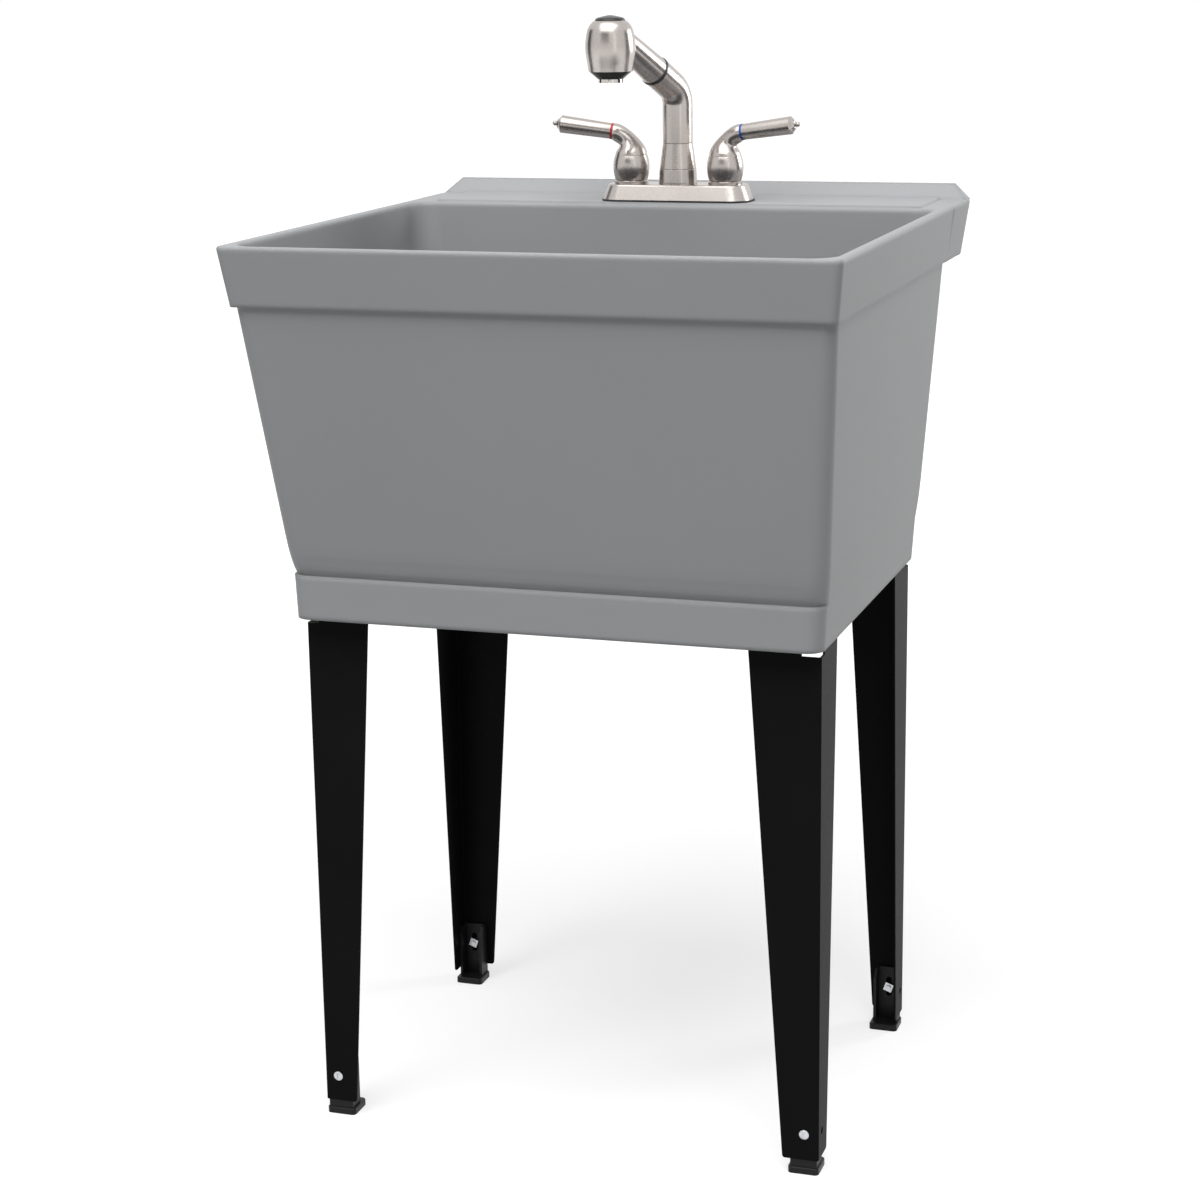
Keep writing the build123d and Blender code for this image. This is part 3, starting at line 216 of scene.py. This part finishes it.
def moulded_plastic(name, dark, light, smooth, rough, gloss=0.5):
    """Plain moulded plastic between two tones, with a fine skin."""
    finish = Finish(name, Specular_IOR_Level=gloss)
    clouds = finish.noise(scale=35.0, detail=3.0)
    skin = finish.noise(scale=1500.0, detail=2.0)
    finish.give(
        Base_Color=finish.mixed(clouds, dark, light),
        Roughness=between(skin, smooth, rough),
        Normal=finish.relief(skin, 0.00008, 0.4),
    )
    return finish.material


def plated_metal(name, dark, light, smooth, rough, grain_run=(1.0, 1.0, 1.0), depth=0.00001):
    """Metal with fine rubbed grain and slight tone changes."""
    finish = Finish(name, Metallic=1.0)
    grain = finish.noise(420.0, 3.0, roughness=0.6, place=finish.stretched(grain_run))
    clouds = finish.noise(scale=28.0, detail=2.0)
    tone = clouds * 0.6 + grain * 0.4
    finish.give(
        Base_Color=finish.mixed(tone.clamped(), dark, light),
        Roughness=between(grain, smooth, rough),
        Normal=finish.relief(grain, depth, 0.5),
    )
    return finish.material


finishes = {
    "tub_plastic": moulded_tub((0.222, 0.226, 0.232), (0.262, 0.266, 0.272), edge_radius=0.007),
    "leg_coating": powder_coat((0.0045, 0.0043, 0.0045), (0.0085, 0.0081, 0.0085)),
    "foot_plastic": moulded_plastic(
        "foot plastic", grey(0.006), grey(0.012), smooth=0.32, rough=0.46, gloss=0.2
    ),
    "rubber": moulded_plastic("soft rubber", grey(0.012), grey(0.02), smooth=0.6, rough=0.75),
    "black_plastic": moulded_plastic(
        "black plastic", grey(0.01), grey(0.017), smooth=0.22, rough=0.34
    ),
    "red_plastic": moulded_plastic(
        "red index plastic", (0.42, 0.015, 0.012), (0.5, 0.02, 0.016), smooth=0.2, rough=0.3
    ),
    "blue_plastic": moulded_plastic(
        "blue index plastic", (0.01, 0.055, 0.25), (0.015, 0.07, 0.31), smooth=0.2, rough=0.3
    ),
    "white_plastic": moulded_plastic(
        "white plastic", (0.72, 0.72, 0.71), (0.78, 0.78, 0.77), smooth=0.3, rough=0.42
    ),
    "zinc": plated_metal(
        "bright zinc", (0.5, 0.51, 0.53), (0.68, 0.69, 0.71), smooth=0.26, rough=0.42
    ),
    "brass": plated_metal(
        "machined brass", (0.66, 0.45, 0.2), (0.78, 0.56, 0.28), smooth=0.25, rough=0.38
    ),
    "chrome": plated_metal(
        "polished chrome", (0.5, 0.47, 0.45), (0.6, 0.57, 0.55), smooth=0.12, rough=0.2
    ),
    "steel": plated_metal(
        "stainless steel", grey(0.5), (0.62, 0.62, 0.61), smooth=0.22, rough=0.36
    ),
    "nickel": plated_metal(
        "brushed nickel", (0.43, 0.394, 0.37), (0.56, 0.52, 0.495),
        smooth=0.2, rough=0.32, grain_run=(1.0, 1.0, 8.0), depth=0.000005,
    ),
}
slots = {part["node"]: part["material_slot"] for part in frame["record"]["subparts"]}
for node, slot_name in slots.items():
    mesh = nodes[node].data
    mesh.materials.clear()
    mesh.materials.append(finishes[slot_name])


# ---------------------------------------------------------------- return spring
def placed(name, data, spot=(0.0, 0.0, 0.0), aim=None):
    """A new object at a spot, with its underside turned to an aim where one is given."""
    made = bpy.data.objects.new(name, data)
    bpy.context.scene.collection.objects.link(made)
    made.location = spot
    if aim is not None:
        made.rotation_euler = (Vector(aim) - Vector(spot)).to_track_quat("-Z", "Y").to_euler()
    return made


def tube_mesh(name, centres, sides, radius):
    """A closed round tube through a list of centres."""
    points = []
    faces = []
    out = (centres[1] - centres[0]).normalized().orthogonal()
    for index, centre in enumerate(centres):
        before = centres[max(index - 1, 0)]
        after = centres[min(index + 1, len(centres) - 1)]
        along = (after - before).normalized()
        out = (out - along * out.dot(along)).normalized()
        across = along.cross(out)
        for side in range(sides):
            turn = 2 * pi * side / sides
            points.append(centre + (out * cos(turn) + across * sin(turn)) * radius)
            if index:
                here = index * sides + side
                beside = index * sides + (side + 1) % sides
                faces.append((here - sides, beside - sides, beside, here))
    faces.append(tuple(reversed(range(sides))))
    faces.append(tuple(range(len(points) - sides, len(points))))
    mesh = bpy.data.meshes.new(name)
    mesh.from_pydata(points, [], faces)
    mesh.polygons.foreach_set("use_smooth", [True] * len(faces))
    return mesh


def return_spring(node, joint, wire_radius, pitch, steps_per_turn=28, wire_sides=10):
    """A coil spring in a CAD node's place, hung on the wand's body."""
    low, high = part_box(node)
    centre = (low + high) / 2
    coil_radius = (high.x - low.x) / 2 - wire_radius
    height = high.z - low.z
    rise = height - 2 * wire_radius
    steps = round(rise / pitch * steps_per_turn)
    route = []
    for step in range(steps + 1):
        turn = 2 * pi * step / steps_per_turn
        across = Vector((cos(turn), sin(turn), 0.0)) * coil_radius
        level = low.z + wire_radius + rise * step / steps
        route.append(Vector((centre.x, centre.y, level)) + across)
    name = node + "_coil"
    spring = placed(name, tube_mesh(name, route, wire_sides, wire_radius))
    spring.data.materials.append(finishes[slots[node]])
    joints = {entry["name"]: entry for entry in frame["record"]["behaviour"]["joints"]}
    travel = joints[joint]["range_m"][1]
    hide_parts(node)
    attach(spring, "wand")
    (height - travel) / height
    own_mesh(spring)


return_spring("button_spring", "spray_button_press", wire_radius=0.0007, pitch=0.00362)


# ---------------------------------------------------------------- studio
def seen_directly(network):
    """1 for rays from the camera, and for their mirror and glass bounces."""
    seen = network.node("ShaderNodeLightPath", {}, {}, "Is Camera Ray")
    rays = seen.socket.node.outputs
    for ray in ("Is Glossy Ray", "Is Transmission Ray"):
        seen = seen.maths("MAXIMUM", seen, Field(network, rays[ray]))
    return seen


def board_mesh(name, width, height):
    """A flat rectangle about its own centre."""
    x, y = width / 2, height / 2
    mesh = bpy.data.meshes.new(name)
    mesh.from_pydata([(-x, -y, 0), (x, -y, 0), (x, y, 0), (-x, y, 0)], [], [(0, 1, 2, 3)])
    return mesh


def studio_floor(size, lift, shade_reach):
    """A pale floor that shows white to the camera except where the object shades it.

    Its own glow is lift out to shade_reach metres, and rises to white over as much again.
    """
    floor = placed("studio_floor", board_mesh("studio_floor", size, size))
    finish = Finish("studio floor", Roughness=0.9, Specular_IOR_Level=0.0, Emission_Strength=1.0)
    soft = finish.noise(scale=0.6, detail=1.0)
    away = ((finish.distance() - shade_reach) / shade_reach).clamped()
    glow = finish.mixed(away, grey(lift), white)
    finish.give(
        Base_Color=finish.mixed(soft, grey(0.38), grey(0.4)),
        Emission_Color=finish.mixed(seen_directly(finish), black, glow),
    )
    floor.data.materials.append(finish.material)


def studio_room(level):
    """A room that lights the object at a level and shows white to the camera."""
    world = bpy.data.worlds.new("studio room")
    world.use_nodes = True
    room = Network(world.node_tree)
    strengths = {"Value": seen_directly(room), "To Min": level, "To Max": 1.0}
    background = room.tree.nodes["Background"]
    feed(room.tree, background.inputs["Color"], white)
    feed(room.tree, background.inputs["Strength"], room.node("ShaderNodeMapRange", {}, strengths))
    bpy.context.scene.world = world


def soft_lamp(name, spot, aim, width, height, power, mirrored=True):
    """A rectangular soft box that faces a point, with or without its image in metal."""
    lamp = bpy.data.lights.new(name, "AREA")
    lamp.shape = "RECTANGLE"
    lamp.size = width
    lamp.size_y = height
    lamp.energy = power
    placed(name, lamp, spot, aim).visible_glossy = mirrored


def dark_card(name, spot, aim, width, height):
    """A black board beside the set, which only mirror bounces see."""
    card = placed(name, board_mesh(name, width, height), spot, aim)
    finish = Finish(name, Roughness=1.0, Specular_IOR_Level=0.0)
    fibres = finish.noise(scale=200.0, detail=2.0)
    finish.give(Base_Color=finish.mixed(fibres, grey(0.03), grey(0.04)))
    card.data.materials.append(finish.material)
    card.visible_camera = False
    card.visible_diffuse = False
    card.visible_shadow = False


studio_floor(size=120.0, lift=0.64, shade_reach=1.2)
studio_room(level=0.22)

# spots and sizes in metres, power in watts
above_front = (0.0, -1.45, 3.8)
above_front_sheen = (0.0, -1.5, 3.8)
tub_centre = (0.0, 0.0, 0.8)
tub_front_right = (0.2, -0.2, 0.7)
deck_right = (0.3, 0.25, 0.85)
faucet_centre = (0.0, 0.2, 0.96)
soft_lamp("key soft box", above_front, tub_centre, 3.6, 3.6, 165.0, mirrored=False)
soft_lamp("sheen soft box", above_front_sheen, tub_centre, 4.0, 3.6, 85.0)
soft_lamp("front right strip", (2.0, -2.4, 1.3), tub_front_right, 0.35, 2.0, 2.0)
soft_lamp("right rear soft box", (1.1, 1.0, 1.2), deck_right, 0.4, 0.6, 7.0)
dark_card("front_dark_card", (-0.5, -3.6, 2.3), faucet_centre, 2.6, 0.9)
dark_card("left_dark_card", (-3.2, 0.4, 1.1), faucet_centre, 1.4, 2.4)
dark_card("right_dark_card", (3.0, 1.0, 1.1), faucet_centre, 1.4, 2.4)

# ---------------------------------------------------------------- camera
# angles in radians, spot in metres, lens and sensor in millimetres
yaw = 0.31971
pitch = 0.23928
roll = -0.01444
camera_spot = (0.78093, -2.43462, 1.1215)
lens_length = 78.51
sensor_width = 36.0
far_limit = 100.0

ahead = Vector((-sin(yaw) * cos(pitch), cos(yaw) * cos(pitch), -sin(pitch)))
level_right = Vector((cos(yaw), sin(yaw), 0.0))
level_up = level_right.cross(ahead)
right = level_right * cos(roll) + level_up * sin(roll)
up = level_up * cos(roll) - level_right * sin(roll)
facing = Matrix((right, up, -ahead)).transposed().to_4x4()
camera = placed("photo camera", bpy.data.cameras.new("photo camera"))
camera.data.sensor_width = sensor_width
camera.data.lens = lens_length
camera.data.clip_end = far_limit
camera.matrix_world = Matrix.Translation(camera_spot) @ facing
bpy.context.scene.camera = camera
bpy.context.scene.view_settings.view_transform = "Standard"
